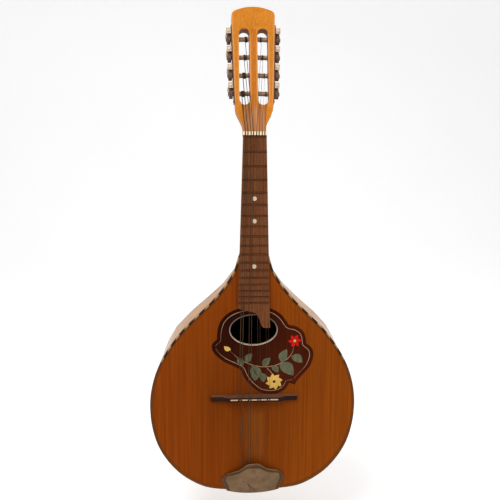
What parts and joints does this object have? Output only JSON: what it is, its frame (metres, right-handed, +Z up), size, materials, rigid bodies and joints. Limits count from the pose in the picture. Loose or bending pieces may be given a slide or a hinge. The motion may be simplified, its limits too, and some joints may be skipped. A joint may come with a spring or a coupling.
{
  "type": "bowl back mandolin",
  "caption": "Bowl back mandolin with paired strings, an oval soundhole, an inlaid guard plate, a floating bridge and a slotted head with geared tuners.",
  "frame": {"origin": "on the back of the neck just below the head, where a hanger's fork carries the neck", "axes": "+Z up the neck towards the head, -Y out of the soundboard, +X the treble side"},
  "size_m": [0.2646, 0.1385, 0.6222],
  "materials": {
    "amber_wood": "stained and varnished",
    "rosewood": "oiled",
    "bone": null,
    "spruce": "orange brown varnish",
    "dark_inlay": "polished dark inlay",
    "binding": "varnished rope pattern",
    "maple": "pale varnish",
    "inner_wood": "bare",
    "bridge_wood": "dark stain",
    "aged_nickel": "aged nickel plate",
    "tuner_metal": "aged plate",
    "cream_plastic": "polished",
    "string_steel": "plain steel",
    "string_wound": "bronze wound"
  },
  "bodies": {
    "instrument": {"neck_and_head": "amber_wood", "fingerboard": "rosewood", "nut": "bone", "soundboard": "spruce", "pickguard": "dark_inlay", "soundhole_ring": "bone", "edge_binding": "binding", "rib_1": "maple", "rib_2": "maple", "rib_3": "maple", "rib_4": "maple", "rib_5": "maple", "rib_6": "maple", "rib_7": "maple", "rib_8": "maple", "rib_9": "maple", "end_clasp": "rosewood", "neck_block": "inner_wood", "tail_block": "inner_wood", "rim_lining": "inner_wood", "upper_brace": "inner_wood", "lower_brace": "inner_wood", "bridge": "bridge_wood", "saddle": "bone", "tailpiece": "aged_nickel", "string_g_bass": "string_wound", "string_g_treble": "string_wound", "string_d_bass": "string_wound", "string_d_treble": "string_wound", "string_a_bass": "string_steel", "string_a_treble": "string_steel", "string_e_bass": "string_steel", "string_e_treble": "string_steel", "bass_tuner_plate": "tuner_metal", "treble_tuner_plate": "tuner_metal"},
    "cover": {"tailpiece_cover": "aged_nickel"},
    "bass_tuner_1": {"bass_worm_1": "tuner_metal", "bass_button_1": "cream_plastic"},
    "bass_gear_1": {"bass_roller_1": "tuner_metal"},
    "bass_tuner_2": {"bass_worm_2": "tuner_metal", "bass_button_2": "cream_plastic"},
    "bass_gear_2": {"bass_roller_2": "tuner_metal"},
    "bass_tuner_3": {"bass_worm_3": "tuner_metal", "bass_button_3": "cream_plastic"},
    "bass_gear_3": {"bass_roller_3": "tuner_metal"},
    "bass_tuner_4": {"bass_worm_4": "tuner_metal", "bass_button_4": "cream_plastic"},
    "bass_gear_4": {"bass_roller_4": "tuner_metal"},
    "treble_tuner_1": {"treble_worm_1": "tuner_metal", "treble_button_1": "cream_plastic"},
    "treble_gear_1": {"treble_roller_1": "tuner_metal"},
    "treble_tuner_2": {"treble_worm_2": "tuner_metal", "treble_button_2": "cream_plastic"},
    "treble_gear_2": {"treble_roller_2": "tuner_metal"},
    "treble_tuner_3": {"treble_worm_3": "tuner_metal", "treble_button_3": "cream_plastic"},
    "treble_gear_3": {"treble_roller_3": "tuner_metal"},
    "treble_tuner_4": {"treble_worm_4": "tuner_metal", "treble_button_4": "cream_plastic"},
    "treble_gear_4": {"treble_roller_4": "tuner_metal"}
  },
  "joints": [
    {"name": "cover_slide", "type": "slide", "parent": "instrument", "child": "cover", "axis": [0, 0, -1], "range_m": [0, 0.045]},
    {"name": "bass_tuner_1_turn", "type": "hinge", "parent": "instrument", "child": "bass_tuner_1", "pos_m": [-0.0285, 0.0004, 0.06599], "axis": [0, 0.9659, -0.2588], "continuous": true},
    {"name": "bass_gear_1_turn", "type": "hinge", "parent": "instrument", "child": "bass_gear_1", "pos_m": [-0.0239, 0.00519, 0.05492], "axis": [-0.9995, -0.0081, -0.0303], "continuous": true},
    {"name": "bass_tuner_2_turn", "type": "hinge", "parent": "instrument", "child": "bass_tuner_2", "pos_m": [-0.02922, 0.00635, 0.0882], "axis": [0, 0.9659, -0.2588], "continuous": true},
    {"name": "bass_gear_2_turn", "type": "hinge", "parent": "instrument", "child": "bass_gear_2", "pos_m": [-0.02462, 0.01115, 0.07712], "axis": [-0.9995, -0.0081, -0.0303], "continuous": true},
    {"name": "bass_tuner_3_turn", "type": "hinge", "parent": "instrument", "child": "bass_tuner_3", "pos_m": [-0.02994, 0.0123, 0.11041], "axis": [0, 0.9659, -0.2588], "continuous": true},
    {"name": "bass_gear_3_turn", "type": "hinge", "parent": "instrument", "child": "bass_gear_3", "pos_m": [-0.02534, 0.01709, 0.09933], "axis": [-0.9995, -0.0081, -0.0303], "continuous": true},
    {"name": "bass_tuner_4_turn", "type": "hinge", "parent": "instrument", "child": "bass_tuner_4", "pos_m": [-0.03067, 0.01825, 0.13261], "axis": [0, 0.9659, -0.2588], "continuous": true},
    {"name": "bass_gear_4_turn", "type": "hinge", "parent": "instrument", "child": "bass_gear_4", "pos_m": [-0.02607, 0.02304, 0.12153], "axis": [-0.9995, -0.0081, -0.0303], "continuous": true},
    {"name": "treble_tuner_1_turn", "type": "hinge", "parent": "instrument", "child": "treble_tuner_1", "pos_m": [0.0285, 0.0004, 0.06599], "axis": [0, 0.9659, -0.2588], "continuous": true},
    {"name": "treble_gear_1_turn", "type": "hinge", "parent": "instrument", "child": "treble_gear_1", "pos_m": [0.0239, 0.00519, 0.05492], "axis": [0.9995, -0.0081, -0.0303], "continuous": true},
    {"name": "treble_tuner_2_turn", "type": "hinge", "parent": "instrument", "child": "treble_tuner_2", "pos_m": [0.02922, 0.00635, 0.0882], "axis": [0, 0.9659, -0.2588], "continuous": true},
    {"name": "treble_gear_2_turn", "type": "hinge", "parent": "instrument", "child": "treble_gear_2", "pos_m": [0.02462, 0.01115, 0.07712], "axis": [0.9995, -0.0081, -0.0303], "continuous": true},
    {"name": "treble_tuner_3_turn", "type": "hinge", "parent": "instrument", "child": "treble_tuner_3", "pos_m": [0.02994, 0.0123, 0.11041], "axis": [0, 0.9659, -0.2588], "continuous": true},
    {"name": "treble_gear_3_turn", "type": "hinge", "parent": "instrument", "child": "treble_gear_3", "pos_m": [0.02534, 0.01709, 0.09933], "axis": [0.9995, -0.0081, -0.0303], "continuous": true},
    {"name": "treble_tuner_4_turn", "type": "hinge", "parent": "instrument", "child": "treble_tuner_4", "pos_m": [0.03067, 0.01825, 0.13261], "axis": [0, 0.9659, -0.2588], "continuous": true},
    {"name": "treble_gear_4_turn", "type": "hinge", "parent": "instrument", "child": "treble_gear_4", "pos_m": [0.02607, 0.02304, 0.12153], "axis": [0.9995, -0.0081, -0.0303], "continuous": true}
  ],
  "couplings": [
    {"joint": "bass_gear_1_turn", "follows": "bass_tuner_1_turn", "ratio": 0.071429},
    {"joint": "bass_gear_2_turn", "follows": "bass_tuner_2_turn", "ratio": 0.071429},
    {"joint": "bass_gear_3_turn", "follows": "bass_tuner_3_turn", "ratio": 0.071429},
    {"joint": "bass_gear_4_turn", "follows": "bass_tuner_4_turn", "ratio": 0.071429},
    {"joint": "treble_gear_1_turn", "follows": "treble_tuner_1_turn", "ratio": 0.071429},
    {"joint": "treble_gear_2_turn", "follows": "treble_tuner_2_turn", "ratio": 0.071429},
    {"joint": "treble_gear_3_turn", "follows": "treble_tuner_3_turn", "ratio": 0.071429},
    {"joint": "treble_gear_4_turn", "follows": "treble_tuner_4_turn", "ratio": 0.071429}
  ]
}
